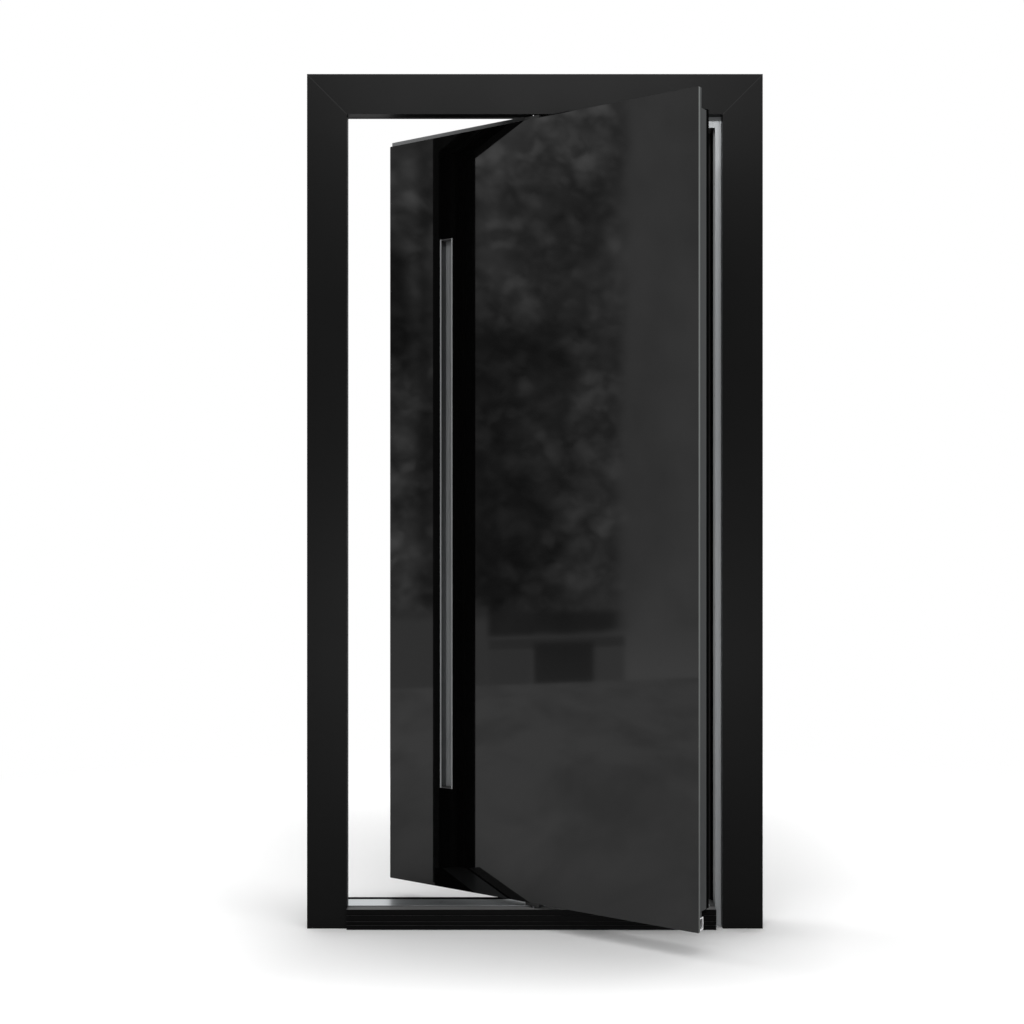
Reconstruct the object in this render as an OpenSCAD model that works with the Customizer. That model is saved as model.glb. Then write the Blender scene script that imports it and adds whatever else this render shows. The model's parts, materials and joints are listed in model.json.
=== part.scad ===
// Aluminium pivot door: a mitred black frame with a threshold, and one leaf that turns on
// pins at its head and sill. The long side of the leaf closes behind the frame's front lip,
// and the short side closes in front of a silver liner.
//
// +X runs along the frame to the right, +Y from the front face to the back, +Z up.
// The origin is at the middle of the frame's width, on the front face, at floor level.
// Leaf pieces are drawn closed and then turned about the pivot by open_angle.

/* [Frame] */
// Overall width of the frame
frame_w = 1280; // [1100:10:1500]
// Overall height of the frame
frame_h = 2400; // [2200:10:2800]
// Depth of the frame, front face to back face
frame_d = 112; // [100:1:130]
// Width of the front face of a jamb and of the head
face_w = 112.5; // [100:0.5:130]
// Thickness of the front lip behind that face
lip_t = 30; // [26:1:32]
// How far the wall-side edge of the profiles lies inside the outer edge of the face
face_overhang = 20; // [10:1:30]
// Depth of the insulating strip in the middle of each profile
break_d = 20; // [14:1:26]
// How far the insulating strip is set in from the profile's sides
break_inset = 5; // [3:1:8]
// Where the insulating strip starts, behind the front face
break_y = 55; // [50:1:60]
// Radius of the fixing holes through the jambs
fixing_r = 4; // [3:0.5:6]
// Height of the lowest fixing hole
fixing_z = 300; // [200:10:400]
// Distance between fixing holes up the jamb
fixing_step = 600; // [500:10:650]
// Number of fixing holes in each jamb
fixing_count = 4; // [3:1:4]
// Distance of the fixing holes behind the front face
fixing_y = 43; // [38:1:48]

/* [Rebates] */
// Thickness of the stop gasket behind the lip on the long side
gasket_t = 4; // [3:0.5:6]
// Width of the stop gasket
gasket_w = 14; // [8:1:18]
// How far the long side's recess goes in behind the lip
recess_w = 27.5; // [24:0.5:34]
// Height of the recess above the lip in the head
head_recess_h = 17.5; // [15:0.5:24]
// How far the silver liner on the short side stands into the doorway
liner_step = 17; // [12:1:20]
// How far the silver liner in the head hangs below the head's face
head_liner_drop = 30; // [17:1:32]
// Thickness of that liner, whose underside is the black stop behind it
head_liner_t = 4; // [3:0.5:6]
// Depth of the silver liner
liner_d = 40; // [28:1:42]
// How far the rear profile on the short side is set back from the liner
liner_setback = 2; // [1:0.5:4]
// How far the fin at the back of that profile reaches towards the leaf
rear_fin_reach = 10; // [6:0.5:11]
// Thickness of that fin, measured from the frame's back face
rear_fin_t = 8; // [4:1:8]
// How far the gasket in front of the fin reaches towards the leaf
rear_gasket_reach = 5.5; // [3:0.5:8]
// Depth of that gasket
rear_gasket_d = 12; // [8:1:16]

/* [Threshold] */
// Height of the threshold
sill_h = 57; // [45:1:65]
// How far the threshold stands out in front of the frame
sill_nose = 14; // [8:1:20]
// Depth of the dark front rail, measured from the frame's front face
sill_front_d = 22; // [16:1:25]
// Width of the tread's black rear strip
sill_strip_w = 24; // [14:1:30]
// How far that strip stands out behind the frame
sill_tail = 12; // [6:1:14]
// Space between the threshold's front and the jamb on the short side
sill_end_gap = 20; // [18:1:26]
// Width of the tread's black end cap on the short side
sill_cap_w = 12; // [6:1:20]
// How far the black seal behind the front rail lies below the tread
sill_seal_drop = 3; // [2:0.5:6]
// Height of one groove in the threshold's front
groove_h = 3; // [2:0.5:4]
// Depth of those grooves
groove_d = 2.5; // [1.5:0.5:4]
// Heights of the lower edges of those grooves
groove_heights = [12, 23, 40]; // [8:0.5:50]

/* [Leaf] */
// How far the leaf stands open, from closed
open_angle = 35.3; // [0:0.1:90]
// Gap between the front panel and the frame's lip at each side
side_gap = 5; // [5:0.5:8]
// Gap between the front panel and the head
top_gap = 13.5; // [10:0.5:16]
// Gap between the front panel and the threshold
sill_gap = 14; // [12:0.5:18]
// Thickness of the black glass
glass_t = 8; // [6:0.5:10]
// Thickness of the aluminium carrier bonded behind the glass
carrier_t = 8; // [6:0.5:10]
// Corner radius of the glass
glass_r = 2; // [1:0.5:8]
// Thickness of the whole leaf
leaf_t = 110; // [98:1:110]
// Thickness of the rear panel
rear_t = 6; // [4:0.5:8]
// How far the leaf's body is set in from the panel's edge on the short side
body_inset = 27.5; // [27.5:0.5:34]
// How far the leaf's body ends below the top of the front panel
body_top_drop = 36; // [30:1:60]
// How far the leaf's body ends above the bottom of the front panel
body_bottom_rise = 39; // [39:1:60]
// Width of the stiles and rails inside the leaf
stile_w = 50; // [40:1:60]
// Thickness of the black gasket in the edge of the short side
edge_gasket_t = 9.5; // [8:0.5:16]
// Width of that gasket, into the edge
edge_gasket_w = 7.5; // [4:0.5:10]
// How far that gasket runs up past the leaf's body
edge_gasket_rise = 4; // [0:1:14]
// How deep that gasket lies below the edge
edge_gasket_inset = 0.5; // [0.5:0.5:4]
// How far the long side's flange reaches past the front panel
flange_reach = 24.5; // [20:0.5:26]
// Clearance between the long side's flange and the stop gasket
flange_gap = 5; // [5:0.5:8]
// How far the top flange rises behind the head's lip
flange_rise = 10.5; // [6:0.5:11]

/* [Pivot] */
// Distance of the pivot axis from the middle of the frame
pivot_x = -4; // [-20:1:40]
// Distance of the pivot axis behind the front face
pivot_y = 8; // [6:1:12]
// Radius of the top pin
top_pin_r = 4; // [3:0.5:5]
// Radius of the bottom pin
bottom_pin_r = 5; // [4:0.5:6]
// Running clearance between pin and shoe, on the radius
pin_clearance = 0.05; // [0.02:0.01:0.1]
// Gap between a shoe and the frame or threshold
shoe_gap = 5; // [5:0.5:6]
// How far the front of each shoe lies behind the front of the glass
shoe_y = 1; // [0.5:0.5:2]
// Width of each pivot shoe
shoe_w = 46; // [36:1:60]

/* [Handle] */
// Distance from the panel's long-side edge to the middle of the pull
pull_x = 214; // [160:1:260]
// Width of the pull's slot
pull_w = 46; // [44:1:60]
// Height of the pull's slot
pull_h = 1610; // [1200:10:1700]
// Height of the middle of the pull above the floor
pull_z = 1167; // [1000:1:1200]
// Depth of the pull's channel, from the face it opens in
pull_d = 25; // [20:1:44]
// Width of the channel's side walls, whose edges show beside the slot
pull_wall = 5; // [3:0.5:8]
// Thickness of the channel's back
pull_back = 2.5; // [1.5:0.5:4]
// Thickness of the plate at each end of the channel
pull_cap_t = 3; // [2:0.5:6]

/* [Bottom edge] */
// How far the open profile behind the panel lies above the panel's lower edge
hook_rise = 5; // [3:1:6]
// Height of that profile
hook_h = 33; // [26:1:33]
// How far that profile stands out behind the panel
hook_d = 9; // [7:0.5:9]
// Wall of that profile
hook_wall = 3; // [1.5:0.1:3]
// Thickness of the black plate under the leaf's body
seal_plate_t = 12; // [6:1:16]
// Height of the brush strip's lower edge above the threshold
brush_gap = 7; // [6:0.5:10]
// Thickness of the bottom seal rail
seal_rail_t = 20; // [14:1:26]
// How far the bottom seal ends short of the short side's edge
seal_end = 4; // [4:1:90]

/* [Hidden] */
$fn = 48;
// Space between a pin's end and the piece that it points at
pin_end_gap = 0.5;
// How far a cutting shape runs past the face that it cuts
past = 1;
black_coat = [0.03, 0.03, 0.032];
silver = [0.62, 0.63, 0.64];
edge_grey = [0.32, 0.33, 0.33];
rubber_black = [0.02, 0.02, 0.02];
glass_black = [0.015, 0.016, 0.018];
steel = [0.45, 0.45, 0.46];

// Frame
half_w = frame_w / 2;
lip_x = half_w - face_w;
head_z = frame_h - face_w;
wall_x = half_w - face_overhang;
wall_z = frame_h - face_overhang;
recess_x = lip_x + recess_w;
recess_z = head_z + head_recess_h;
inner_y = break_y + break_d;
liner_x = lip_x - liner_step;
liner_z = head_z - head_liner_drop;
liner_y1 = lip_t + liner_d;
sill_x = lip_x - sill_end_gap;
sill_cap_x = sill_x - sill_cap_w;
tread_y1 = frame_d + sill_tail - sill_strip_w;
rear_profile_x = liner_x + liner_setback;
rear_fin_y = frame_d - rear_fin_t;

// Leaf, closed
panel_half = lip_x - side_gap;
panel_w = 2 * panel_half;
panel_z0 = sill_h + sill_gap;
panel_z1 = head_z - top_gap;
panel_t = glass_t + carrier_t;
body_x1 = panel_half - body_inset;
body_z0 = panel_z0 + body_bottom_rise;
body_z1 = panel_z1 - body_top_drop;
rear_y = leaf_t - rear_t;
flange_x = panel_half + flange_reach;
flange_y = lip_t + gasket_t + flange_gap;
flange_z = head_z + flange_rise;
flange_end_x = pivot_x - (flange_y - pivot_y) - shoe_gap;
edge_gasket_y = rear_y - edge_gasket_t;
edge_gasket_x = body_x1 - edge_gasket_inset - edge_gasket_w;
stile_left_x = -panel_half + stile_w;
stile_right_x = body_x1 - stile_w;

// The flange's rear corner sweeps this far to the short side, so the head liner starts past it
sweep_r = sqrt(pow(leaf_t - pivot_y, 2) + pow(flange_end_x - pivot_x, 2));
head_liner_x = pivot_x + sweep_r + 2 * shoe_gap;

// Pivot shoes and bottom seal
shoe_x0 = pivot_x - shoe_w / 2;
shoe_x1 = pivot_x + shoe_w / 2;
seal_y0 = (leaf_t - seal_rail_t) / 2;
hook_z0 = panel_z0 + hook_rise;
hook_z1 = hook_z0 + hook_h;

// Pull
pull_x0 = -panel_half + pull_x - pull_w / 2;
pull_x1 = pull_x0 + pull_w;
pull_z0 = pull_z - pull_h / 2;

// A block given by its lowest and highest corners
module block(x0, x1, y0, y1, z0, z1) {
    translate([x0, y0, z0])
        cube([x1 - x0, y1 - y0, z1 - z0]);
}

// A flat outline in X and Z, thickened from y0 to y1
module slab_xz(y0, y1) {
    translate([0, y1, 0])
        rotate([90, 0, 0])
            linear_extrude(height = y1 - y0)
                children();
}

// Turns a leaf piece from closed to where it stands
module on_leaf() {
    translate([pivot_x, pivot_y, 0])
        rotate([0, 0, -open_angle])
            translate([-pivot_x, -pivot_y, 0])
                children();
}

// Rectangle with round corners, from [x0, z0] to [x1, z1]
module round_rect(x0, x1, z0, z1, r) {
    translate([x0 + r, z0])
        square([x1 - x0 - 2 * r, z1 - z0]);
    translate([x0, z0 + r])
        square([x1 - x0, z1 - z0 - 2 * r]);
    for (x = [x0 + r, x1 - r], z = [z0 + r, z1 - r])
        translate([x, z])
            circle(r = r);
}

// Fixing holes through one jamb, from x0 to x1
module fixing_holes(x0, x1) {
    for (i = [0 : fixing_count - 1])
        translate([x0 - past, fixing_y, fixing_z + i * fixing_step])
            rotate([0, 90, 0])
                cylinder(r = fixing_r, h = x1 - x0 + 2 * past);
}

// Face of a left jamb, mitred at the head
module jamb_face() {
    slab_xz(0, lip_t)
        polygon([[-half_w, 0], [-lip_x, 0], [-lip_x, head_z], [-half_w, frame_h]]);
}

module jamb_left_outer() {
    color(black_coat)
        difference() {
            union() {
                jamb_face();
                block(-wall_x, -recess_x, lip_t, break_y, 0, wall_z);
            }
            fixing_holes(-wall_x, -recess_x);
        }
}

module jamb_left_break() {
    color(rubber_black)
        block(-wall_x + break_inset, -recess_x - break_inset, break_y, inner_y, 0, wall_z - break_inset);
}

module jamb_left_inner() {
    color(black_coat)
        block(-wall_x, -recess_x, inner_y, frame_d, 0, wall_z);
}

module jamb_right_outer() {
    color(black_coat)
        difference() {
            union() {
                mirror([1, 0, 0])
                    jamb_face();
                block(recess_x, wall_x, lip_t, break_y, 0, wall_z);
            }
            fixing_holes(recess_x, wall_x);
        }
}

module jamb_right_break() {
    color(rubber_black)
        block(recess_x + break_inset, wall_x - break_inset, break_y, inner_y, 0, wall_z - break_inset);
}

// The rear profile on the short side reaches in behind the liner, and ends in a fin
module jamb_right_inner() {
    color(black_coat) {
        block(recess_x, wall_x, inner_y, frame_d, 0, wall_z);
        block(rear_profile_x, recess_x, liner_y1, frame_d, 0, liner_z + liner_setback);
        block(rear_profile_x - rear_fin_reach, rear_profile_x, rear_fin_y, frame_d,
            sill_h, liner_z + liner_setback);
    }
}

module head_outer() {
    color(black_coat) {
        slab_xz(0, lip_t)
            polygon([[-half_w, frame_h], [-lip_x, head_z], [lip_x, head_z], [half_w, frame_h]]);
        block(-recess_x, recess_x, lip_t, break_y, recess_z, wall_z);
    }
}

module head_break() {
    color(rubber_black)
        block(-recess_x, recess_x, break_y, inner_y, recess_z + break_inset, wall_z - break_inset);
}

module head_inner() {
    color(black_coat)
        block(-recess_x, recess_x, inner_y, frame_d, recess_z, wall_z);
}

module jamb_liner() {
    color(silver)
        difference() {
            block(liner_x, recess_x, lip_t, liner_y1, 0, recess_z);
            fixing_holes(liner_x, recess_x);
        }
}

module head_liner() {
    color(silver)
        block(head_liner_x, liner_x, lip_t, lip_t + head_liner_t, liner_z, recess_z);
}

// The stop fills the rebate behind the head's liner, and the space behind the jamb's liner
module head_stop() {
    z0 = liner_z + liner_setback;
    color(black_coat) {
        block(head_liner_x, liner_x, lip_t + head_liner_t, liner_y1, z0, recess_z);
        block(head_liner_x, recess_x, liner_y1, frame_d, z0, recess_z);
    }
}

module stop_gasket_jamb() {
    color(rubber_black)
        block(-lip_x - gasket_w, -lip_x, lip_t, lip_t + gasket_t, sill_h, head_z);
}

module stop_gasket_head() {
    color(rubber_black)
        block(-lip_x - gasket_w, flange_end_x, lip_t, lip_t + gasket_t, head_z, head_z + gasket_w);
}

module rear_gasket_jamb() {
    color(rubber_black)
        block(rear_profile_x - rear_gasket_reach, rear_profile_x,
            rear_fin_y - rear_gasket_d, rear_fin_y, sill_h, liner_z + liner_setback);
}

module sill_front_rail() {
    color(black_coat)
        difference() {
            block(-lip_x, sill_x, -sill_nose, sill_front_d, 0, sill_h);
            for (z = groove_heights)
                block(-lip_x - past, sill_x + past,
                    -sill_nose - past, -sill_nose + groove_d, z, z + groove_h);
        }
}

module sill_seal() {
    color(rubber_black)
        block(-lip_x, sill_x, sill_front_d, lip_t, 0, sill_h - sill_seal_drop);
}

module sill_tread() {
    color(silver)
        block(-recess_x, sill_cap_x, lip_t, tread_y1, 0, sill_h);
}

module sill_end_cap() {
    color(rubber_black)
        block(sill_cap_x, liner_x, lip_t, tread_y1, 0, sill_h);
}

module sill_rear_strip() {
    color(rubber_black)
        block(-recess_x, rear_profile_x, tread_y1, frame_d + sill_tail, 0, sill_h);
}

module top_pivot_pin() {
    color(steel)
        translate([pivot_x, pivot_y, panel_z1 + pin_end_gap])
            cylinder(r = top_pin_r, h = top_gap - pin_end_gap);
}

module bottom_pivot_pin() {
    color(steel)
        translate([pivot_x, pivot_y, sill_h])
            cylinder(r = bottom_pin_r, h = sill_gap - pin_end_gap);
}

// The pull's slot through the front skins
module pull_slot(y0, y1) {
    slab_xz(y0, y1)
        translate([pull_x0, pull_z0])
            square([pull_w, pull_h]);
}

module front_glass() {
    color(glass_black)
        on_leaf()
            difference() {
                slab_xz(0, glass_t)
                    round_rect(-panel_half, panel_half, panel_z0, panel_z1, glass_r);
                pull_slot(-past, glass_t + past);
            }
}

// The carrier ends on top of the open profile along the lower edge
module front_carrier() {
    color(edge_grey)
        on_leaf()
            difference() {
                slab_xz(glass_t, panel_t)
                    round_rect(-panel_half, panel_half, panel_z0, panel_z1, glass_r);
                block(-panel_half - past, panel_half + past, glass_t - past, panel_t + past,
                    panel_z0 - past, hook_z1);
                pull_slot(glass_t - past, panel_t + past);
            }
}

module rear_panel() {
    color(glass_black)
        on_leaf()
            difference() {
                block(-panel_half, edge_gasket_x, rear_y, leaf_t, body_z0, body_z1);
                pull_slot(rear_y - past, leaf_t + past);
            }
}

module leaf_core() {
    color([0.75, 0.74, 0.7])
        on_leaf()
            difference() {
                block(stile_left_x, stile_right_x, panel_t, rear_y, body_z0 + stile_w, body_z1 - stile_w);
                pull_slot(panel_t - past, pull_d);
                pull_slot(leaf_t - pull_d, rear_y + past);
            }
}

// The long side's stile, with the flange that closes behind the jamb's lip
module lock_stile() {
    color(silver)
        on_leaf() {
            block(-panel_half, stile_left_x, panel_t, rear_y, body_z0, body_z1);
            block(-flange_x, -panel_half, flange_y, leaf_t, body_z0, flange_z);
        }
}

module pivot_stile() {
    color(edge_grey)
        on_leaf()
            difference() {
                block(stile_right_x, body_x1, panel_t, rear_y, body_z0, body_z1);
                block(edge_gasket_x, body_x1 + past, edge_gasket_y, rear_y + past,
                    body_z0 - past, body_z1 + past);
            }
}

module edge_gasket() {
    color(rubber_black)
        on_leaf()
            block(edge_gasket_x, body_x1 - edge_gasket_inset, edge_gasket_y, leaf_t,
                body_z0, body_z1 + edge_gasket_rise);
}

module top_rail() {
    color(edge_grey)
        on_leaf()
            block(stile_left_x, stile_right_x, panel_t, rear_y, body_z1 - stile_w, body_z1);
}

module bottom_rail() {
    color(edge_grey)
        on_leaf()
            block(stile_left_x, stile_right_x, panel_t, rear_y, body_z0, body_z0 + stile_w);
}

// The long half's top flange, which closes behind the head's lip
module top_flange() {
    color(silver)
        on_leaf()
            block(-panel_half, flange_end_x, flange_y, leaf_t, body_z1, flange_z);
}

// A plate under the body that carries the brush strip
module bottom_seal() {
    color(rubber_black)
        on_leaf() {
            block(-panel_half, body_x1 - seal_end, seal_y0, rear_y, body_z0 - seal_plate_t, body_z0);
            block(-panel_half, body_x1 - seal_end, seal_y0, seal_y0 + seal_rail_t,
                sill_h + brush_gap, body_z0 - seal_plate_t);
        }
}

// A profile along the lower edge, behind the glass and open towards it
module bottom_hook() {
    back = panel_t + hook_d;
    color(silver)
        on_leaf()
            translate([-panel_half, 0, 0])
                rotate([90, 0, 90])
                    linear_extrude(height = panel_w)
                        polygon([
                            [glass_t, hook_z0], [back, hook_z0], [back, hook_z1], [glass_t, hook_z1],
                            [glass_t, hook_z1 - hook_wall], [back - hook_wall, hook_z1 - hook_wall],
                            [back - hook_wall, hook_z0 + hook_wall], [glass_t, hook_z0 + hook_wall]
                        ]);
}

// A bracket on the body's top, carried forward over the panel to the top pin
module top_pivot_shoe() {
    plate_z = head_z - shoe_gap;
    color(steel)
        on_leaf()
            difference() {
                union() {
                    block(shoe_x0, shoe_x1, shoe_y, panel_t, panel_z1, plate_z);
                    block(shoe_x0, shoe_x1, panel_t, panel_t + shoe_w / 2, body_z1, plate_z);
                }
                translate([pivot_x, pivot_y, panel_z1 - past])
                    cylinder(r = top_pin_r + pin_clearance, h = top_gap);
            }
}

// A bracket under the body, carried forward under the panel to the bottom pin
module bottom_pivot_shoe() {
    plate_z = sill_h + shoe_gap;
    color(steel)
        on_leaf()
            difference() {
                union() {
                    block(shoe_x0, shoe_x1, shoe_y, seal_y0, plate_z, panel_z0);
                    block(shoe_x0, shoe_x1, panel_t + hook_d, seal_y0, plate_z, body_z0);
                }
                translate([pivot_x, pivot_y, plate_z - past])
                    cylinder(r = bottom_pin_r + pin_clearance, h = sill_gap + past);
            }
}

// A channel for a pull, drawn open to the front, lining its slot
module pull_channel() {
    difference() {
        block(pull_x0, pull_x1, 0, pull_d, pull_z0, pull_z0 + pull_h);
        block(pull_x0 + pull_wall, pull_x1 - pull_wall, -past, pull_d - pull_back,
            pull_z0 - past, pull_z0 + pull_h + past);
    }
}

// Plates that close the channel's ends, flush with the face
module pull_caps() {
    for (z = [pull_z0, pull_z0 + pull_h - pull_cap_t])
        block(pull_x0 + pull_wall, pull_x1 - pull_wall, 0, pull_d - pull_back, z, z + pull_cap_t);
}

// Takes a piece of the front pull to the rear face
module to_rear() {
    translate([0, leaf_t, 0])
        mirror([0, 1, 0])
            children();
}

module front_pull_channel() {
    color(edge_grey)
        on_leaf()
            pull_channel();
}

module front_pull_caps() {
    color(edge_grey)
        on_leaf()
            pull_caps();
}

module rear_pull_channel() {
    color(edge_grey)
        on_leaf()
            to_rear()
                pull_channel();
}

module rear_pull_caps() {
    color(edge_grey)
        on_leaf()
            to_rear()
                pull_caps();
}

jamb_left_outer();
jamb_left_break();
jamb_left_inner();
jamb_right_outer();
jamb_right_break();
jamb_right_inner();
head_outer();
head_break();
head_inner();
jamb_liner();
head_liner();
head_stop();
stop_gasket_jamb();
stop_gasket_head();
rear_gasket_jamb();
sill_front_rail();
sill_seal();
sill_tread();
sill_end_cap();
sill_rear_strip();
top_pivot_pin();
bottom_pivot_pin();
front_glass();
front_carrier();
rear_panel();
leaf_core();
lock_stile();
pivot_stile();
top_rail();
bottom_rail();
top_flange();
edge_gasket();
bottom_seal();
bottom_hook();
top_pivot_shoe();
bottom_pivot_shoe();
front_pull_channel();
front_pull_caps();
rear_pull_channel();
rear_pull_caps();
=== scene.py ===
import json
import math

import bmesh
import bpy
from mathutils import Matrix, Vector


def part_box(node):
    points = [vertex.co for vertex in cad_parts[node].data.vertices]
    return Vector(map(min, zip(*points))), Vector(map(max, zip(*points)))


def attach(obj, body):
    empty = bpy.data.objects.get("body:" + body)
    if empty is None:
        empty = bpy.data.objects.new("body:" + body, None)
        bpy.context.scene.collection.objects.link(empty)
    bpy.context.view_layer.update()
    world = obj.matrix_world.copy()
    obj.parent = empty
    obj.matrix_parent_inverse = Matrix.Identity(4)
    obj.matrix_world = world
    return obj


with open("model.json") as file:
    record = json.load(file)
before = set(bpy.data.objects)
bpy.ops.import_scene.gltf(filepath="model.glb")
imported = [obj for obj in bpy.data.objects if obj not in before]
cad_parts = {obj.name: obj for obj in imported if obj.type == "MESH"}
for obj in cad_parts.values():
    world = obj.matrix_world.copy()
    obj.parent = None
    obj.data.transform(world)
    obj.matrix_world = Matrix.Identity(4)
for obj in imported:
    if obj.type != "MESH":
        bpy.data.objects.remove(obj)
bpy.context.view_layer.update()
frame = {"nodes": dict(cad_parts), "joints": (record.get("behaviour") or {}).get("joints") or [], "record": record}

MM = 0.001

# ------------------------------------------------------------------------------------------
# Places taken from the frame
# ------------------------------------------------------------------------------------------

# The ends of a box, and the axes that are read from it
LOW, HIGH = 0, 1
X, Z = 0, 2

JOINT = frame["joints"][0]
# How far the leaf stands open at rest, from the joint's closed limit
OPEN = math.radians(-JOINT["range_deg"][0])
# At rest, the direction along the leaf to its short side, and from its glass to its back
LEAF_ALONG = (math.cos(OPEN), -math.sin(OPEN), 0.0)
LEAF_DEPTH = (math.sin(OPEN), math.cos(OPEN), 0.0)

# The inner end of the fin behind the right jamb, and the top of the threshold's front
FIN_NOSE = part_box("jamb_right_inner")[LOW][X]
SILL_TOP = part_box("sill_front_rail")[HIGH][Z]


def mitre_plane():
    """Direction and distance of the mitres, in side and height, through the face's corners."""
    head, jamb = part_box("head_outer"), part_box("jamb_left_outer")
    outer_x, outer_z = abs(jamb[LOW][X]), head[HIGH][Z]
    inner_x, inner_z = abs(jamb[HIGH][X]), head[LOW][Z]
    run, drop = outer_x - inner_x, outer_z - inner_z
    length = math.hypot(run, drop)
    direction = (drop / length, -run / length)
    return direction, outer_x * direction[0] + outer_z * direction[1]


def on_leaf(across, depth, height):
    """The place at rest of a point that is given for the closed leaf."""
    pivot = Vector(JOINT["pos_m"])
    turned = (across - pivot.x) * Vector(LEAF_ALONG) + (depth - pivot.y) * Vector(LEAF_DEPTH)
    return pivot + turned + Vector((0.0, 0.0, height))


# ------------------------------------------------------------------------------------------
# Node helpers
# ------------------------------------------------------------------------------------------

# Where nearly all of a noise's values lie
NOISE_SPAN = (0.3, 0.7)


class Nodes:
    """A material or world node tree that is built from short calls."""

    def __init__(self, tree):
        self.tree = tree

    def add(self, kind, inputs=None, **settings):
        node = self.tree.nodes.new(kind)
        for key, value in settings.items():
            setattr(node, key, value)
        for key, value in (inputs or {}).items():
            self.set(node.inputs[key], value)
        return node

    def set(self, socket, value):
        if isinstance(value, bpy.types.NodeSocket):
            self.tree.links.new(value, socket)
        elif hasattr(value, "__len__") and len(value) == 3 and socket.type == "RGBA":
            socket.default_value = (*value, 1.0)
        else:
            socket.default_value = value

    def math(self, operation, a, b=0.0):
        return self.add("ShaderNodeMath", {0: a, 1: b}, operation=operation).outputs[0]

    def times(self, a, b):
        return self.math("MULTIPLY", a, b)

    def plus(self, a, b):
        return self.math("ADD", a, b)

    def minus(self, a, b):
        return self.math("SUBTRACT", a, b)

    def vector(self, operation, inputs):
        return self.add("ShaderNodeVectorMath", inputs, operation=operation).outputs

    def parts(self, vector):
        return self.add("ShaderNodeSeparateXYZ", {0: vector}).outputs

    def noise(self, vector, scale, detail=3.0, roughness=0.5, distortion=0.0):
        inputs = {"Vector": vector, "Scale": scale, "Detail": detail,
                  "Roughness": roughness, "Distortion": distortion}
        return self.add("ShaderNodeTexNoise", inputs).outputs["Fac"]

    def stretch(self, vector, scale, turn=(0.0, 0.0, 0.0), shift=(0.0, 0.0, 0.0)):
        inputs = {"Vector": vector, "Scale": scale, "Rotation": turn, "Location": shift}
        return self.add("ShaderNodeMapping", inputs).outputs[0]

    def remap(self, value, low, high, to_low, to_high, smooth=False):
        kind = "SMOOTHSTEP" if smooth else "LINEAR"
        inputs = {"Value": value, "From Min": low, "From Max": high,
                  "To Min": to_low, "To Max": to_high}
        return self.add("ShaderNodeMapRange", inputs, interpolation_type=kind).outputs[0]

    def within(self, value, middle, half, soft):
        """1 within half of the middle, falling to 0 over a soft edge."""
        off = self.math("ABSOLUTE", self.minus(value, middle))
        return self.remap(off, half - soft, half + soft, 1.0, 0.0, smooth=True)

    def mix(self, factor, a, b, kind="RGBA"):
        inputs = {"Factor": factor, "A": a, "B": b}
        return self.add("ShaderNodeMix", inputs, data_type=kind).outputs["Result"]

    def blend(self, factor, a, b):
        return self.mix(factor, a, b, "FLOAT")

    def grey(self, level):
        inputs = {"Red": level, "Green": level, "Blue": level}
        return self.add("ShaderNodeCombineColor", inputs).outputs[0]

    def bump(self, height, distance):
        inputs = {"Height": height, "Distance": distance, "Strength": 1.0}
        return self.add("ShaderNodeBump", inputs).outputs[0]


def grey(level):
    """A neutral colour of that linear level."""
    return (level, level, level)


def scaled(colour, share):
    return tuple(c * share for c in colour)


def principled(name, **values):
    """A new material, its node builder and its Principled shader, with constants set on it."""
    material = bpy.data.materials.new(name)
    material.use_nodes = True
    shader = material.node_tree.nodes["Principled BSDF"]
    for key, value in values.items():
        shader.inputs[key.replace("_", " ")].default_value = value
    return material, Nodes(material.node_tree), shader


def object_point(nodes):
    return nodes.add("ShaderNodeTexCoord").outputs["Object"]


def object_normal(nodes):
    return nodes.add("ShaderNodeTexCoord").outputs["Normal"]


def facing(nodes, direction, low, high):
    """1 on faces that look along a direction or against it, from the given cosines up."""
    along = nodes.vector("DOT_PRODUCT", {0: object_normal(nodes), 1: direction})["Value"]
    return nodes.remap(nodes.math("ABSOLUTE", along), low, high, 0.0, 1.0)


# ------------------------------------------------------------------------------------------
# Materials
# ------------------------------------------------------------------------------------------

COAT_IOR = 1.5
COAT_ROUGHNESS = 0.40
# Painted highlight on the threshold's up-facing faces: its tone, and the share of it that reaches its grooves
TOP_HIGHLIGHT_LEVEL = 0.14
HIGHLIGHT_IN_GROOVES = 0.5
# The painted highlight along the mitre seams: its tone, and half its width where it is full and where it ends
SEAM_HIGHLIGHT_LEVEL = 0.024
SEAM_HIGHLIGHT_HALF = (0.5 * MM, 1.1 * MM)
# How far that painted highlight lies off the line through the face's corners
SEAM_HIGHLIGHT_SHIFT = 0.8 * MM
# Painted light on the rear fin's nose, which stands in shade: its tone, how far it reaches, and the depths where
# it sets in
FIN_LIGHT_LEVEL = 0.030
FIN_LIGHT_REACH = 8 * MM
FIN_LIGHT_DEPTH = (85 * MM, 95 * MM)
# Anodised metal: how fine its extrusion lines are, and how much of its tone is in them
LINES_PER_METRE = 900.0
LINES_SHARE = 0.7
# The grain of profiles that lie across the leaf, and of the tread
LEVEL_GRAIN = (0.01, 0.01, 1.0)
TREAD_GRAIN = (0.01, 0.4, 1.0)
# Painted shade: the share of the metal's tone that is left on the pull's side walls and the tread's upright edges
PULL_WALL_SHADE_SHARE = 0.035
TREAD_EDGE_SHADE_SHARE = 0.45
# Black glass: its darkest and palest tone, its smoothest and roughest polish, and the
# roughness of its ground edges
GLASS_IOR = 1.45
GLASS_BODY = (0.0008, 0.0016)
GLASS_POLISH = (0.028, 0.045)
GROUND_ROUGHNESS = 0.35
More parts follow.
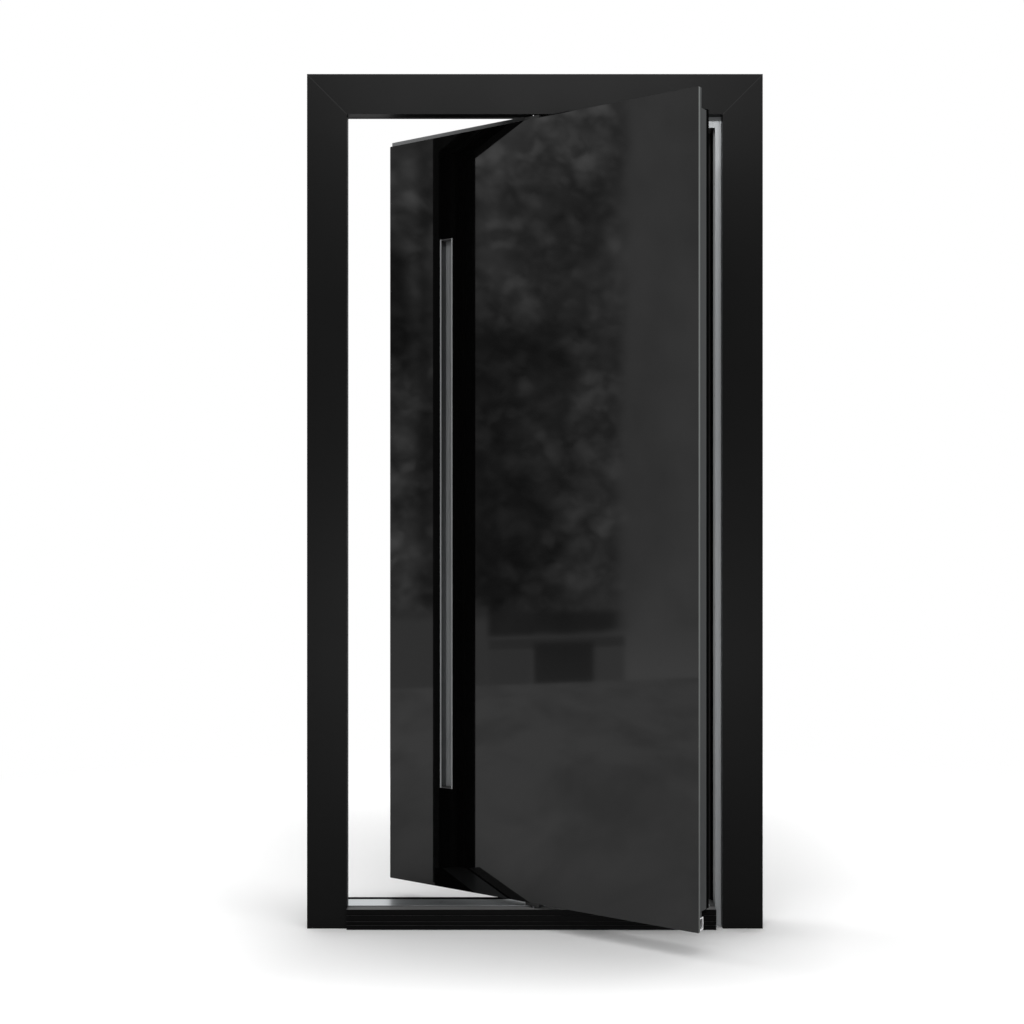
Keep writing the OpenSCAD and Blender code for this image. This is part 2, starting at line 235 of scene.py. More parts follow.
# The faint green of those edges, and how they deepen near the floor: from where to where up
# the leaf, and the share that is left at the bottom
GROUND_TINT = (0.94, 1.04, 0.98)
GROUND_FADE = (0.1, 1.4)
GROUND_FOOT_SHARE = 0.45
RUBBER_SPECULAR = 0.005


def powder_coat(name, level, specular, painted_light=None):
    """Fine satin powder coat with slight drifts in tone, and the painted highlights and light that its pieces
    show.
    """
    material, nodes, shader = principled(name, IOR=COAT_IOR, Specular_IOR_Level=specular)
    point = object_point(nodes)
    drift = nodes.noise(point, scale=2.2)
    skin = nodes.noise(point, scale=900.0, detail=2.0)
    tone = nodes.plus(nodes.times(drift, 0.6), nodes.times(skin, 0.4))
    colour = nodes.mix(tone, grey(level * 0.75), grey(level * 1.25))
    if painted_light:
        colour = painted_light(nodes, point, colour)
    roughness = nodes.remap(drift, *NOISE_SPAN, COAT_ROUGHNESS - 0.03, COAT_ROUGHNESS + 0.03)
    nodes.set(shader.inputs["Base Color"], colour)
    nodes.set(shader.inputs["Roughness"], roughness)
    nodes.set(shader.inputs["Normal"], nodes.bump(skin, 0.02 * MM))
    return material


def painted_top_highlight(nodes, point, colour):
    """Painted highlight: faces that look up are made paler in streaks, as if lit from above, most of all the top.
    """
    up = nodes.remap(nodes.parts(object_normal(nodes))["Z"], 0.15, 0.9, 0.0, 1.0)
    near_top = nodes.remap(nodes.parts(point)["Z"], SILL_TOP - 5 * MM, SILL_TOP - 2 * MM,
                           HIGHLIGHT_IN_GROOVES, 1.0)
    streak_place = nodes.stretch(point, (14.0, 60.0, 60.0))
    highlight_streaks = nodes.noise(streak_place, scale=1.0, detail=4.0, roughness=0.6)
    paler = nodes.mix(highlight_streaks, grey(TOP_HIGHLIGHT_LEVEL * 0.7), grey(TOP_HIGHLIGHT_LEVEL * 1.3))
    return nodes.mix(nodes.times(up, near_top), colour, paler)


def painted_seam_and_fin_light(nodes, point, colour):
    """A painted highlight along each of the frame's mitres, and painted light on the nose of its rear fins."""
    place = nodes.parts(point)
    side = nodes.math("ABSOLUTE", place["X"])
    (side_share, height_share), distance = mitre_plane()
    reached = nodes.plus(nodes.times(side, side_share), nodes.times(place["Z"], height_share))
    # Painted highlight: a pale line along the mitre, where its edges would catch the light
    off = nodes.math("ABSOLUTE", nodes.minus(reached, distance + SEAM_HIGHLIGHT_SHIFT))
    seam = nodes.remap(off, *SEAM_HIGHLIGHT_HALF, 1.0, 0.0)
    colour = nodes.mix(seam, colour, grey(SEAM_HIGHLIGHT_LEVEL))
    # Painted light on the fin's nose, which lies in shade between the leaf and the liner
    nose = nodes.times(nodes.remap(side, FIN_NOSE, FIN_NOSE + FIN_LIGHT_REACH, 1.0, 0.0),
                       nodes.remap(place["Y"], *FIN_LIGHT_DEPTH, 0.0, 1.0))
    return nodes.mix(nose, colour, grey(FIN_LIGHT_LEVEL))


def anodised(name, colour, roughness, grain=(1.0, 1.0, 0.01), contrast=0.12, metallic=1.0):
    """Satin anodised aluminium, with the faint lines of extrusion along its length."""
    material, nodes, shader = principled(name, Metallic=metallic)
    point = object_point(nodes)
    fine = nodes.stretch(point, scaled(grain, LINES_PER_METRE))
    lines = nodes.noise(fine, scale=1.0, roughness=0.6)
    cloud = nodes.noise(point, scale=5.0, detail=2.0)
    tone = nodes.plus(nodes.times(lines, LINES_SHARE), nodes.times(cloud, 1.0 - LINES_SHARE))
    satin = nodes.mix(tone, scaled(colour, 1.0 - contrast), scaled(colour, 1.0 + contrast))
    nodes.set(shader.inputs["Base Color"], satin)
    nodes.set(shader.inputs["Roughness"],
              nodes.remap(lines, *NOISE_SPAN, roughness * 0.9, roughness * 1.1))
    nodes.set(shader.inputs["Normal"], nodes.bump(lines, 0.03 * MM))
    return material


def paint_wall_shade(material, direction, painted_shade):
    """Paints shade on the faces that look along a direction, or against it, with a deeper tone."""
    nodes = Nodes(material.node_tree)
    base = material.node_tree.nodes["Principled BSDF"].inputs["Base Color"]
    satin = base.links[0].from_socket
    nodes.set(base, nodes.mix(facing(nodes, direction, 0.5, 0.9), satin, painted_shade))
    return material


def pull_with_wall_shade(name, colour, roughness):
    """Satin anodised channel whose side walls carry painted shade, a deeper grey than its back and rims."""
    painted_shade = scaled(colour, PULL_WALL_SHADE_SHARE)
    return paint_wall_shade(anodised(name, colour, roughness), LEAF_ALONG, painted_shade)


def tread_with_edge_shade(name, colour, roughness):
    """Satin anodised tread whose upright edges carry painted shade, a deeper grey than its top."""
    material = anodised(name, colour, roughness, TREAD_GRAIN, contrast=0.04, metallic=0.89)
    return paint_wall_shade(material, (0.0, 1.0, 0.0), scaled(colour, TREAD_EDGE_SHADE_SHARE))


def black_glass(name, edge_level):
    """Polished black glass. Its upright ground edges are paler and faintly green, less low down."""
    material, nodes, shader = principled(name, IOR=GLASS_IOR)
    edge = facing(nodes, LEAF_ALONG, 0.6, 0.9)
    point = object_point(nodes)
    wisps = nodes.noise(point, scale=3.0, detail=4.0, roughness=0.6)
    body = nodes.mix(wisps, *(grey(level) for level in GLASS_BODY))
    ground = scaled(GROUND_TINT, edge_level)
    low = nodes.remap(nodes.parts(point)["Z"], *GROUND_FADE, GROUND_FOOT_SHARE, 1.0)
    nodes.set(shader.inputs["Base Color"], nodes.mix(nodes.times(edge, low), body, ground))
    polish = nodes.remap(wisps, 0.35, 0.7, *GLASS_POLISH)
    roughness = nodes.math("MAXIMUM", polish, nodes.times(edge, GROUND_ROUGHNESS))
    nodes.set(shader.inputs["Roughness"], roughness)
    return material


def rubber(name, level):
    """Extruded gasket rubber, slightly dusty."""
    material, nodes, shader = principled(name, IOR=1.5, Specular_IOR_Level=RUBBER_SPECULAR)
    dust = nodes.noise(object_point(nodes), scale=60.0, detail=4.0, roughness=0.65)
    nodes.set(shader.inputs["Base Color"], nodes.mix(dust, grey(level * 0.6), grey(level * 1.6)))
    nodes.set(shader.inputs["Roughness"], nodes.remap(dust, *NOISE_SPAN, 0.6, 0.8))
    nodes.set(shader.inputs["Normal"], nodes.bump(dust, 0.1 * MM))
    return material


def plastic(name, colour, roughness):
    """Moulded or cut plastic with a fine grain."""
    material, nodes, shader = principled(name, IOR=1.5)
    grain = nodes.noise(object_point(nodes), scale=400.0)
    tone = nodes.mix(grain, scaled(colour, 0.85), scaled(colour, 1.15))
    nodes.set(shader.inputs["Base Color"], tone)
    nodes.set(shader.inputs["Roughness"],
              nodes.remap(grain, *NOISE_SPAN, roughness - 0.05, roughness + 0.05))
    nodes.set(shader.inputs["Normal"], nodes.bump(grain, 0.1 * MM))
    return material


LOOKS = {
    "black_coat": powder_coat("powder_coat_black", 0.0038, 0.029, painted_seam_and_fin_light),
    # The sill's coat carries a painted highlight on its up-facing faces
    "sill_coat": powder_coat("powder_coat_sill", 0.0012, 0.022, painted_top_highlight),
    "break_plastic": plastic("break_strip", grey(0.012), 0.6),
    "liner_silver": anodised("silver_liner", (0.112, 0.1155, 0.1185), 0.55),
    "tread_silver": tread_with_edge_shade("silver_tread", (0.50, 0.525, 0.54), 0.30),
    "rubber_black": rubber("gasket_rubber", 0.0007),
    "pin_steel": anodised("turned_steel", (0.06, 0.06, 0.062), 0.35),
    "shoe_steel": powder_coat("black_steel", 0.010, 0.3),
    "glass_black": black_glass("black_glass_front", 0.14),
    "glass_rear": black_glass("black_glass_rear", 0.006),
    "carrier_alu": anodised("carrier_edge", (0.034, 0.036, 0.037), 0.45),
    "edge_alu": anodised("stile_grey", (0.040, 0.042, 0.043), 0.45),
    "rail_alu": anodised("rail_grey", (0.27, 0.27, 0.275), 0.40, LEVEL_GRAIN),
    "flange_silver": anodised("silver_flange", (0.20, 0.203, 0.206), 0.40),
    "insulation": plastic("foam_core", (0.62, 0.60, 0.54), 0.8),
    "hook_alu": anodised("hook_mill", (0.88, 0.88, 0.89), 0.38, LEVEL_GRAIN),
    "pull_alu": pull_with_wall_shade("pull_satin", (0.36, 0.37, 0.375), 0.40),
    "pull_plug": plastic("pull_end_plate", grey(0.010), 0.5),
}

# Radius of the small real edge of each finish, in mm, and of the rest
EDGE_MM = {"black_coat": 0.5, "sill_coat": 1.0, "glass_black": 0.8, "glass_rear": 0.6,
           "pull_alu": 0.5, "liner_silver": 0.6, "tread_silver": 0.2, "flange_silver": 0.4}
OTHER_EDGE_MM = 0.3
# Corners that turn by less than this, in degrees, stay plain
EDGE_ANGLE = 40


def dress_cad_nodes():
    """Gives every CAD node the material of its slot and a small real edge."""
    for row in frame["record"]["subparts"]:
        piece, slot = frame["nodes"][row["node"]], row["material_slot"]
        piece.data.materials.clear()
        piece.data.materials.append(LOOKS[slot])
        bevel = piece.modifiers.new("edge", "BEVEL")
        bevel.width = EDGE_MM.get(slot, OTHER_EDGE_MM) * MM
        bevel.segments = 2
        bevel.limit_method = "ANGLE"
        bevel.angle_limit = math.radians(EDGE_ANGLE)
        bevel.harden_normals = False


# ------------------------------------------------------------------------------------------
# Brushes
# ------------------------------------------------------------------------------------------

# The holder: height of its sides, their thickness, and the thickness of its floor
HOLDER_LIP, HOLDER_WALL, HOLDER_FLOOR = 8 * MM, 1.0 * MM, 1.5 * MM
HOLDER_EDGE = 0.25 * MM
# From one tuft to the next, from the holder's end to the first, and the room kept at both ends
TUFT_PITCH, TUFT_START, TUFT_ROOM = 1.5 * MM, 1.2 * MM, 2 * MM
TUFT_SIDES = 6
# A tuft's radius at its foot, middle and tip, and the share of its bend that each has
TUFT_RINGS = ((0.80 * MM, 0.0), (0.85 * MM, 0.4), (0.70 * MM, 1.0))
# How far tufts bend along the row and across it, and how uneven their tips are
TUFT_SWAY, TUFT_LEAN, TUFT_UNEVEN = 0.4 * MM, 0.3 * MM, 0.3 * MM
# Where the top shoe ends along the closed leaf
SHOE_END = 19 * MM
# The brush behind the shoe: its depths, its room to the flange and to the liner, its rows of
# tufts, and how far its tips stay under the frame's lip
REAR_DEPTHS, REAR_ROOM, REAR_ROWS = (33 * MM, 40 * MM), (1 * MM, 4.7 * MM), 3
REAR_TIP_GAP = 0.7 * MM
# The brush behind the glass: the same, and how far its tips stand above the glass
FRONT_DEPTHS, FRONT_ROOM, FRONT_ROWS = (9.5 * MM, 14.5 * MM), (1.5 * MM, 1.5 * MM), 2
FRONT_TIP_RISE = 6 * MM


def leaf_piece(name, mesh, slot):
    """A made piece that turns with the leaf and has the finish of a slot."""
    data = bpy.data.meshes.new(name)
    mesh.normal_update()
    mesh.to_mesh(data)
    mesh.free()
    piece = bpy.data.objects.new(name, data)
    bpy.context.scene.collection.objects.link(piece)
    data.materials.append(LOOKS[slot])
    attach(piece, "leaf")
    return piece


def make_holder(name, start, end, near, far, foot):
    """A channel that stands open upwards on the leaf's top edge."""
    mesh = bmesh.new()
    inner_near, inner_far = near + HOLDER_WALL, far - HOLDER_WALL
    profile = [(near, 0.0), (far, 0.0), (far, HOLDER_LIP), (inner_far, HOLDER_LIP),
               (inner_far, HOLDER_FLOOR), (inner_near, HOLDER_FLOOR), (inner_near, HOLDER_LIP),
               (near, HOLDER_LIP)]
    first, last = ([mesh.verts.new(on_leaf(x, depth, foot + up)) for depth, up in profile]
                   for x in (start, end))
    mesh.faces.new(first)
    mesh.faces.new(list(reversed(last)))
    for i in range(len(profile)):
        j = (i + 1) % len(profile)
        mesh.faces.new((first[j], first[i], last[i], last[j]))
    bmesh.ops.recalc_face_normals(mesh, faces=mesh.faces)
    bevel = leaf_piece(name, mesh, "break_plastic").modifiers.new("edge", "BEVEL")
    bevel.width = HOLDER_EDGE
    bevel.segments = 2


def add_tuft(mesh, x, depth, foot, top, sway, lean):
    """One closed tuft that stands on the holder's floor and bends towards its tip."""
    rings = []
    heights = (foot + HOLDER_FLOOR, (foot + top) / 2, top)
    for height, (radius, share) in zip(heights, TUFT_RINGS):
        turns = (math.tau * k / TUFT_SIDES for k in range(TUFT_SIDES))
        rings.append([mesh.verts.new(on_leaf(x + share * sway + radius * math.cos(turn),
                                             depth + share * lean + radius * math.sin(turn),
                                             height))
                      for turn in turns])
    for low, high in zip(rings, rings[1:]):
        for k in range(TUFT_SIDES):
            after = (k + 1) % TUFT_SIDES
            mesh.faces.new((low[k], low[after], high[after], high[k]))
    mesh.faces.new(rings[-1])
    mesh.faces.new(list(reversed(rings[0])))


def make_brush(name, start, end, depths, tip, rows):
    """A brush in its holder on the leaf's top edge, given for the closed leaf."""
    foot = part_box("rear_panel")[HIGH][Z]
    near, far = depths
    make_holder(name + "_holder", start, end, near, far, foot)
    mesh = bmesh.new()
    row_width = (far - near - 2 * HOLDER_WALL) / rows
    for row in range(rows):
        depth = near + HOLDER_WALL + (row + 0.5) * row_width
        for tuft in range(int((end - start - TUFT_ROOM) / TUFT_PITCH)):
            x = start + TUFT_START + (tuft + 0.5 * (row % 2)) * TUFT_PITCH
            # Waves with no common step make the tufts uneven, the same way each run
            sway = TUFT_SWAY * math.sin(2.7 * tuft + 1.9 * row)
            lean = TUFT_LEAN * math.sin(1.3 * tuft + 4.1 * row)
            short = TUFT_UNEVEN * (0.5 + 0.5 * math.sin(3.9 * tuft + 2.3 * row))
            add_tuft(mesh, x, depth, foot, tip - short, sway, lean)
    leaf_piece(name, mesh, "rubber_black")


def make_pivot_brushes():
    """Two brushes beside the pivot that close the gap under the head."""
    flange_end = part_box("stop_gasket_head")[HIGH][X]
    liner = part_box("head_liner")[LOW][X]
    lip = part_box("head_outer")[LOW][Z]
    glass_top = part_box("front_glass")[HIGH][Z]
    make_brush("pivot_brush_rear", flange_end + REAR_ROOM[0], liner - REAR_ROOM[1],
               REAR_DEPTHS, lip - REAR_TIP_GAP, REAR_ROWS)
    make_brush("pivot_brush_front", SHOE_END + FRONT_ROOM[0], liner - FRONT_ROOM[1],
               FRONT_DEPTHS, glass_top + FRONT_TIP_RISE, FRONT_ROWS)


# ------------------------------------------------------------------------------------------
# Studio
# ------------------------------------------------------------------------------------------

WORLD_LIGHT = 0.65

# The floor's level under the lamps, and as the camera sees it at the door's foot, where the lower level is painted
# shadow, and away
FLOOR_LEVEL = 0.75
FLOOR_SEEN = (0.975, 1.26)
# Painted shadow round the door's foot, where it is deeper in tone: half its width in front of the door and behind
# it, the places where those hold, its middle, and its reach in front and behind
SHADOW_WIDTH = (0.55, 0.80)
SHADOW_WIDTH_AT = (-0.1, 0.5)
SHADOW_MIDDLE = 0.25
SHADOW_REACH = (0.56, 1.2)
# The power that rounds the corners of that painted shadow, and where its tone starts and stops to fade
SHADOW_CORNERS = 6.0
SHADOW_FADE = (0.4, 2.2)
# How far from the door the floor starts to turn into plain white, and where it is white
FLOOR_FADE = (2.2, 3.4)
FLOOR_REACH = 60.0
# Painted reflection: clouds that the floor shows only in mirrors: their stretch outward along the view and
# sideways, as shares of X and Y, and their deepest and palest level
CLOUD_OUTWARD, CLOUD_SIDEWAYS = (0.65, 0.26), (-0.95, 2.3)
CLOUD_LEVELS = (0.78, 1.08)
# In mirrors it is deeper behind the door, and paler close to it, a painted light against the door's shadow there
BEHIND_DOOR, BEHIND_LEVEL = (-0.1, 0.2), 0.83
NEAR_DOOR, NEAR_LIGHT_LEVELS = (0.2, 1.1), (1.35, 1.04)

# The mirrored card: its distance to the left, its two ends and its height
GARDEN_CARD = (-6.0, -0.5, -4.6, 5.2)
# Deeper shade in its planting: middle across and up, half width and height, and how much
GARDEN_SHADE = [
    (-1.92, 1.45, 0.46, 1.20, 0.40),
    (-1.98, 2.60, 0.24, 0.26, 0.10),
    (-2.60, 3.45, 0.20, 0.35, 0.14),
    (-2.30, 4.00, 0.40, 0.35, -0.22),
    (-1.12, 2.66, 0.16, 0.46, 0.52),
    (-1.15, 4.00, 0.20, 0.20, 0.25),
    (-2.62, 1.60, 0.26, 0.95, 0.10),
]
# The planting's own light: its span, and the least that its shade leaves
PLANTING_LIGHT, DEEPEST_SHADE = (0.50, 0.78), 0.20
# What large and small leaves add to it, and its level without them
LARGE_LEAVES, SMALL_LEAVES, BARE_LEVEL = 0.75, 0.30, 0.72
# Where its shaded foot ends, going up, and that foot's levels
PLANTING_FOOT, FOOT_LEVELS = (0.48, 0.56), (0.18, 0.32)
# Where the plain wall beside it turns into it, the wall's levels, and how it pales low down
WALL_EDGE, WALL_LEVELS = (-3.02, -2.84), (0.72, 0.98)
WALL_FOOT, WALL_FOOT_LEVEL = (0.3, 0.9), 1.15
# The shade beside the frame's own mirror image: its middle, half width, soft edge and level
FRAME_SHADE = (-1.40, 0.05, 0.045)
FRAME_SHADE_LEVEL = 0.62
# Where the bright ground ends, going up, and its level across and what height adds to it
GROUND_TOP = (0.31, 0.39)
GROUND_ACROSS, GROUND_UP = (-3.0, -2.6, 1.06, 0.84), (0.05, 0.33, 0.10, -0.06)
# Where the plain strip beside it starts, where it ends going up, and its level
STRIP_START, STRIP_TOP, STRIP_LEVEL = (-1.90, -1.84), (0.46, 0.58), 0.70
# The planter's parts, each as its middle, half size and soft edge, with its level
PLANTER_ACROSS = (-2.40, 0.53, 0.02)
PLANTER_BAND, BAND_LEVEL = (0.29, 0.04, 0.01), 0.50
PLANTER_RIM, RIM_LEVEL = (0.335, 0.007, 0.006), 0.75
PLANTER_BODY = (0.12, 0.125, 0.012)
PLANTER_ENDS = (((-2.03, 0.165, 0.02), 0.66), ((-2.80, 0.13, 0.02), 0.76))
PLANTER_MIDDLE, MIDDLE_TOP = (-2.45, 0.235, 0.02), (0.28, 0.31)
MIDDLE_UP = (0.0, 0.30, 0.36, 0.27)

# Each softbox: place, what it points at, width, height, power in watts
SOFTBOXES = {
    "overhead_softbox": ((-0.2, 0.45, 6.0), (-0.2, 0.45, 0.0), 3.2, 0.8, 73.0),
    "high_softbox": ((-0.2, -2.0, 6.5), (-0.2, -0.6, 0.0), 4.0, 3.0, 45.0),
    "front_softbox": ((-0.6, -5.0, 1.6), (0.0, 0.0, 1.2), 3.0, 2.4, 46.0),
}
# Two more that only show as sheen on the coat and metal
SHEEN_SOFTBOXES = {
    "head_sheen": ((0.14, -2.1, 3.15), (0.1, 0.0, 2.45), 2.2, 0.25, 106.0),
    "low_sheen": ((0.0, -4.2, 0.50), (0.0, 0.0, 0.80), 2.4, 0.4, 155.0),
}

CAMERA_LENS, CAMERA_SENSOR = 51.05, 36.0
CAMERA_PLACE = (-0.0643, -4.078, 1.126)
CAMERA_SHIFT = 0.0153


def see_white(nodes):
    """1 for rays that see the white background: from the camera, or mirrored or passed."""
    path = nodes.add("ShaderNodeLightPath").outputs
    seen = nodes.math("MAXIMUM", path["Is Camera Ray"], path["Is Glossy Ray"])
    return nodes.math("MAXIMUM", seen, path["Is Transmission Ray"])


def make_world():
    """White as the camera and mirrors see it, and softer as light."""
    world = bpy.data.worlds.new("studio")
    world.use_nodes = True
    nodes = Nodes(world.node_tree)
    background = world.node_tree.nodes["Background"]
    background.inputs["Color"].default_value = (1.0, 1.0, 1.0, 1.0)
    strength = nodes.remap(see_white(nodes), 0.0, 1.0, WORLD_LIGHT, 1.0)
    nodes.set(background.inputs["Strength"], strength)
    bpy.context.scene.world = world


def plane(name, corners, material):
    """One flat face of the stage."""
    mesh = bpy.data.meshes.new(name)
    mesh.from_pydata(corners, [], [(0, 1, 2, 3)])
    mesh.materials.append(material)
    piece = bpy.data.objects.new(name, mesh)
    bpy.context.scene.collection.objects.link(piece)
    return piece


def stage_material(name):
    """A new material with an empty node tree, and its node builder."""
    material = bpy.data.materials.new(name)
    material.use_nodes = True
    material.node_tree.nodes.clear()
    return material, Nodes(material.node_tree)


def floor_tone_with_painted_shadow(nodes, place):
    """The floor as the camera sees it, with a painted shadow round the door's foot that reaches further out behind
    it.
    """
    width = nodes.remap(place["Y"], *SHADOW_WIDTH_AT, *SHADOW_WIDTH)
    across = nodes.math("ABSOLUTE", nodes.math("DIVIDE", place["X"], width))
    before = nodes.math("DIVIDE", nodes.minus(SHADOW_MIDDLE, place["Y"]), SHADOW_REACH[0])
    behind = nodes.math("DIVIDE", nodes.minus(place["Y"], SHADOW_MIDDLE), SHADOW_REACH[1])
    along = nodes.math("MAXIMUM", before, behind)
    spread = nodes.plus(nodes.math("POWER", across, SHADOW_CORNERS),
                        nodes.math("POWER", along, SHADOW_CORNERS))
    spread = nodes.math("POWER", spread, 2.0 / SHADOW_CORNERS)
    return nodes.remap(spread, *SHADOW_FADE, *FLOOR_SEEN)


def mirrored_floor(nodes, place, far):
    """The floor as mirrors see it, a painted reflection: soft clouds, plainer behind the door, and painted light
    close to it. Its level, and clouds.
    """
    outward, sideways = (nodes.plus(nodes.times(place["X"], x_share),
                                    nodes.times(place["Y"], y_share))
                         for x_share, y_share in (CLOUD_OUTWARD, CLOUD_SIDEWAYS))
    drift = nodes.add("ShaderNodeCombineXYZ", {"X": outward, "Y": sideways}).outputs[0]
    haze = nodes.noise(drift, scale=1.0, detail=4.0, roughness=0.55, distortion=0.5)
    clouds = nodes.remap(haze, 0.35, 0.65, *CLOUD_LEVELS)
    front = nodes.remap(place["Y"], *BEHIND_DOOR, 1.0, BEHIND_LEVEL)
    near_door = nodes.remap(far, *NEAR_DOOR, *NEAR_LIGHT_LEVELS)
    return nodes.times(nodes.times(front, clouds), near_door), clouds


def make_floor():
    """Pale floor that takes the shadow, with a painted shadow round the door's foot and painted clouds that only
    mirrors see, and turns plain white away from the door.
    """
    material, nodes = stage_material("pale_floor")
    seen = see_white(nodes)
    camera = nodes.add("ShaderNodeLightPath").outputs["Is Camera Ray"]
    point = object_point(nodes)
    place = nodes.parts(point)
    far = nodes.vector("LENGTH", {0: point})["Value"]
    # Painted shadow round the door's foot, as the camera sees the floor
    tone = floor_tone_with_painted_shadow(nodes, place)
    mirrored, clouds = mirrored_floor(nodes, place, far)
    to_eye = nodes.mix(camera, nodes.grey(mirrored), nodes.grey(tone))
    colour = nodes.mix(seen, grey(FLOOR_LEVEL), to_eye)
    shaded = nodes.add("ShaderNodeBsdfDiffuse", {"Color": colour}).outputs[0]
    # In mirrors the far floor glows with the painted clouds
    glow = nodes.math("MAXIMUM", camera, nodes.math("MINIMUM", clouds, 1.0))
    white = nodes.add("ShaderNodeEmission", {"Strength": glow}).outputs[0]
    fade = nodes.times(nodes.remap(far, *FLOOR_FADE, 0.0, 1.0, smooth=True), seen)
    surface = nodes.add("ShaderNodeMixShader", {0: fade, 1: shaded, 2: white}).outputs[0]
    nodes.add("ShaderNodeOutputMaterial", {"Surface": surface})
    r = FLOOR_REACH
    plane("floor", [(-r, -r, 0), (r, -r, 0), (r, r, 0), (-r, r, 0)], material)


def foliage(nodes, point, scale, stretch, bend, shift=(0.0, 0.0, 0.0)):
    """Leaves of one size: soft blobs, each with a brightness of its own."""
    wander = nodes.add("ShaderNodeTexNoise", {"Vector": point, "Scale": scale * 0.6, "Detail": 3.0})
    push = nodes.vector("SUBTRACT", {0: wander.outputs["Color"], 1: (0.5, 0.5, 0.5)})[0]
    push = nodes.vector("SCALE", {0: push, "Scale": bend})[0]
    moved = nodes.vector("ADD", {0: point, 1: push})[0]
    moved = nodes.stretch(moved, stretch, turn=(0.6, 0.0, 0.0), shift=shift)
    cells = nodes.add("ShaderNodeTexVoronoi", {"Vector": moved, "Scale": scale}).outputs
    shape = nodes.remap(cells["Distance"], 0.10, 0.80, 1.0, 0.0, smooth=True)
    own = nodes.add("ShaderNodeSeparateColor", {"Color": cells["Color"]}).outputs["Red"]
    return nodes.times(shape, nodes.remap(own, 0.2, 0.85, 0.0, 1.1))


def planting_tone(nodes, point, across, height):
    """Broad light and shade of the planting, its large and small leaves, and its shaded foot."""
    clumps = nodes.noise(nodes.stretch(point, (0.0, 1.9, 1.3), shift=(0.0, 0.0, 3.1)), scale=1.0)
    light = nodes.remap(clumps, 0.32, 0.68, *PLANTING_LIGHT, smooth=True)
    for middle_y, middle_z, half_y, half_z, depth in GARDEN_SHADE:
        shade = nodes.times(nodes.within(across, middle_y, half_y, 0.7 * half_y),
                            nodes.within(height, middle_z, half_z, 0.35 * half_z))
        light = nodes.minus(light, nodes.times(shade, depth))
    light = nodes.math("MAXIMUM", light, DEEPEST_SHADE)
    large = foliage(nodes, point, 6.0, (0.0, 1.0, 1.25), bend=0.36)
    small = foliage(nodes, point, 13.0, (0.0, 1.0, 1.4), bend=0.16, shift=(0.0, 5.3, 2.7))
    fine = nodes.noise(nodes.stretch(point, (0.0, 1.0, 1.3)), scale=5.0, detail=4.0,
                       roughness=0.6, distortion=0.8)
    fine = nodes.remap(fine, *NOISE_SPAN, -0.30, 0.30)
    leaves = nodes.plus(nodes.times(large, LARGE_LEAVES), nodes.times(small, SMALL_LEAVES))
    leaves = nodes.plus(leaves, nodes.plus(fine, BARE_LEVEL))
    foot = nodes.remap(height, *PLANTING_FOOT, 1.0, 0.0, smooth=True)
    return nodes.blend(foot, nodes.times(light, leaves),
                       nodes.remap(clumps, *NOISE_SPAN, *FOOT_LEVELS))


def with_planter(nodes, tone, across, height):
    """A low planter in front of that tone: a pale rim, grey ends and a dark middle."""
    planter = nodes.within(across, *PLANTER_ACROSS)
    tone = nodes.blend(nodes.times(planter, nodes.within(height, *PLANTER_BAND)), tone, BAND_LEVEL)
    tone = nodes.blend(nodes.times(planter, nodes.within(height, *PLANTER_RIM)), tone, RIM_LEVEL)
    body = nodes.within(height, *PLANTER_BODY)
    for end, level in PLANTER_ENDS:
        tone = nodes.blend(nodes.times(nodes.within(across, *end), body), tone, level)
    middle = nodes.times(nodes.within(across, *PLANTER_MIDDLE),
                         nodes.remap(height, *MIDDLE_TOP, 1.0, 0.0))
    return nodes.blend(middle, tone, nodes.remap(height, *MIDDLE_UP))


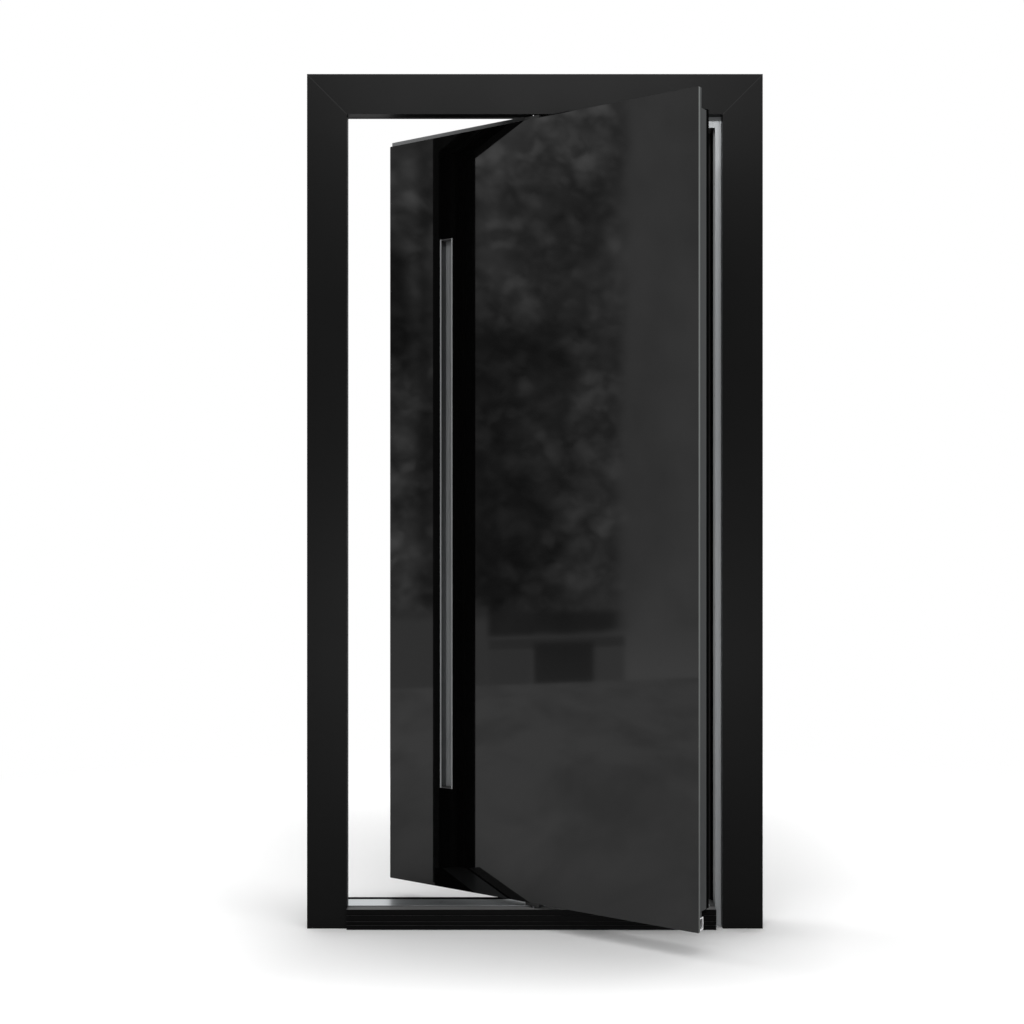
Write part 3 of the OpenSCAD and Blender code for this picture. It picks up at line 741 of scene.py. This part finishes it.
def make_garden_card():
    """A card that only mirrors see: soft planting beside white, as polished glass shows it."""
    material, nodes = stage_material("garden_tone")
    point = object_point(nodes)
    place = nodes.parts(point)
    across, height = place["Y"], place["Z"]

    # The plain wall, and the planting beside it with a wavy edge
    haze = nodes.noise(nodes.stretch(point, (0.0, 1.6, 1.2), shift=(0.0, 7.3, 1.9)), scale=1.0,
                       detail=4.0, roughness=0.55)
    wall = nodes.times(nodes.remap(haze, *NOISE_SPAN, *WALL_LEVELS),
                       nodes.remap(height, *WALL_FOOT, WALL_FOOT_LEVEL, 1.0))
    wavy = nodes.plus(across, nodes.remap(haze, *NOISE_SPAN, -0.06, 0.06))
    tone = nodes.blend(nodes.remap(wavy, *WALL_EDGE, 0.0, 1.0, smooth=True), wall,
                       planting_tone(nodes, point, across, height))
    shade = nodes.within(across, *FRAME_SHADE)
    tone = nodes.times(tone, nodes.remap(shade, 0.0, 1.0, 1.0, FRAME_SHADE_LEVEL))

    # Bright ground in front of both, and a plain strip beside it
    ground = nodes.plus(height, nodes.remap(haze, *NOISE_SPAN, -0.03, 0.03))
    ground_tone = nodes.plus(nodes.remap(across, *GROUND_ACROSS),
                             nodes.remap(height, *GROUND_UP))
    tone = nodes.blend(nodes.remap(ground, *GROUND_TOP, 1.0, 0.0, smooth=True), tone, ground_tone)
    strip = nodes.times(nodes.remap(across, *STRIP_START, 0.0, 1.0, smooth=True),
                        nodes.remap(ground, *STRIP_TOP, 1.0, 0.0))
    tone = nodes.blend(strip, tone, STRIP_LEVEL)
    tone = with_planter(nodes, tone, across, height)

    glow = nodes.add("ShaderNodeEmission", {"Strength": tone}).outputs[0]
    nodes.add("ShaderNodeOutputMaterial", {"Surface": glow})
    x, near, far, top = GARDEN_CARD
    card = plane("garden_card", [(x, near, 0), (x, far, 0), (x, far, top), (x, near, top)],
                 material)
    card.visible_camera = False
    card.visible_diffuse = False
    card.visible_transmission = False
    card.visible_shadow = False


def area_lamp(name, place, aim, width, height, power):
    """A softbox that the camera never sees."""
    light = bpy.data.lights.new(name, "AREA")
    light.shape = "RECTANGLE"
    light.size = width
    light.size_y = height
    light.energy = power
    lamp = bpy.data.objects.new(name, light)
    bpy.context.scene.collection.objects.link(lamp)
    lamp.location = place
    lamp.rotation_euler = (Vector(aim) - Vector(place)).to_track_quat("-Z", "Y").to_euler()
    lamp.visible_camera = False
    return lamp


def sheen_free(names):
    """A light-linking group that keeps a lamp off polished nodes, where it would show as a box."""
    group = bpy.data.collections.new("sheen_free")
    for name in names:
        group.objects.link(frame["nodes"][name])
    for member in group.collection_objects:
        member.light_linking.link_state = "EXCLUDE"
    return group


def make_softboxes():
    """The lamps that light the door, with no mirror image in it."""
    for name, settings in SOFTBOXES.items():
        area_lamp(name, *settings).visible_glossy = False


def make_sheen_lamps():
    """Lamps that only show as sheen on the coat and metal, and not in the glass."""
    mirrors = sheen_free(["front_glass", "rear_panel"])
    for name, settings in SHEEN_SOFTBOXES.items():
        lamp = area_lamp(name, *settings)
        lamp.visible_diffuse = False
        lamp.light_linking.receiver_collection = mirrors


def make_camera():
    """Level camera in front of the door, a little to the left of its middle."""
    camera = bpy.data.objects.new("camera", bpy.data.cameras.new("camera"))
    bpy.context.scene.collection.objects.link(camera)
    camera.data.lens = CAMERA_LENS
    camera.data.sensor_width = CAMERA_SENSOR
    camera.data.shift_y = CAMERA_SHIFT
    camera.location = CAMERA_PLACE
    camera.rotation_euler = (math.radians(90), 0, 0)
    bpy.context.scene.camera = camera


make_camera()
make_world()
make_floor()
make_softboxes()
make_garden_card()
dress_cad_nodes()
make_pivot_brushes()
make_sheen_lamps()
bpy.context.scene.view_settings.view_transform = "Standard"
